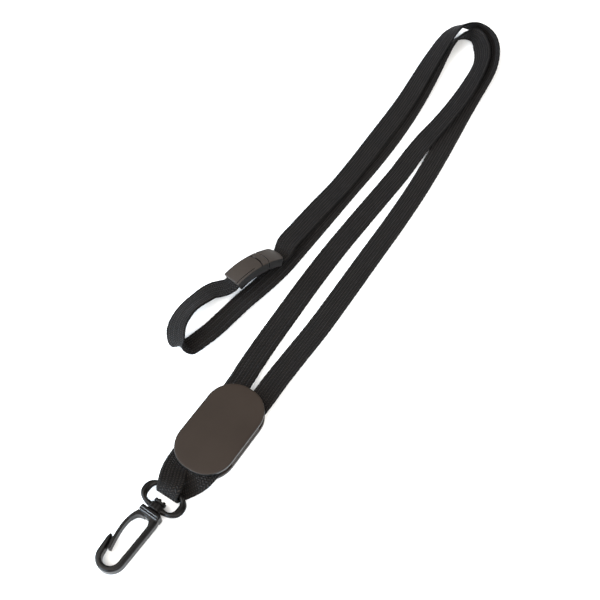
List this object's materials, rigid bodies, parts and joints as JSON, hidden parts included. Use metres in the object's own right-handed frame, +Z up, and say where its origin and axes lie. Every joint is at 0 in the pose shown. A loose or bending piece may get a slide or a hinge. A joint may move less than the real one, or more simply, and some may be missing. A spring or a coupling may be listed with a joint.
{
  "type": "neck lanyard",
  "caption": "Black braided neck lanyard with a breakaway clasp, an oval plate joining its strands and a plastic swivel hook.",
  "frame": {"origin": "centre of the plate's flat back face, on the table", "axes": "+Y along the lanyard from the hook to the top of the neck loop, +Z up from the table, +X across"},
  "size_m": [0.0621, 0.3431, 0.0111],
  "materials": {
    "strap_braid": "flat hollow braid of black polyester with slanted stitches in lengthwise ribs",
    "plate_plastic": "satin injection moulded, very dark warm grey",
    "clasp_plastic": "satin injection moulded, dark grey",
    "hook_plastic": "semi-gloss moulded acetal, nearly black"
  },
  "bodies": {
    "neck": {"plate_back": "plate_plastic", "plate_front": "plate_plastic", "strap_neck_inner": "strap_braid", "strap_neck_outer": "strap_braid", "strap_hook_loop": "strap_braid", "clasp_plug": "clasp_plastic", "clasp_plug_lid": "clasp_plastic"},
    "clasp_half": {"clasp_socket": "clasp_plastic", "clasp_socket_lid": "clasp_plastic", "strap_clasp_loop": "strap_braid"},
    "ring": {"swivel_ring": "hook_plastic"},
    "hook": {"hook_body": "hook_plastic"},
    "gate": {"hook_gate": "hook_plastic"}
  },
  "joints": [
    {"name": "clasp_release", "type": "slide", "parent": "neck", "child": "clasp_half", "axis": [-0.306, -0.9474, 0.0941], "range_m": [0, 0.012]},
    {"name": "ring_tilt", "type": "hinge", "parent": "neck", "child": "ring", "pos_m": [-0.00103, -0.03055, 0.00312], "axis": [-0.9994, 0.0349, 0], "range_deg": [-80, 80]},
    {"name": "hook_swivel", "type": "hinge", "parent": "ring", "child": "hook", "pos_m": [-0.0012, -0.0353, 0.00305], "axis": [-0.0349, -0.9993, -0.0139], "continuous": true},
    {"name": "gate_flex", "type": "hinge", "parent": "hook", "child": "gate", "pos_m": [-0.00556, -0.0441, 0.00293], "axis": [-0.0005, -0.014, 0.9999], "range_deg": [0, 16], "stiffness_Nm_per_rad": 0.12}
  ]
}
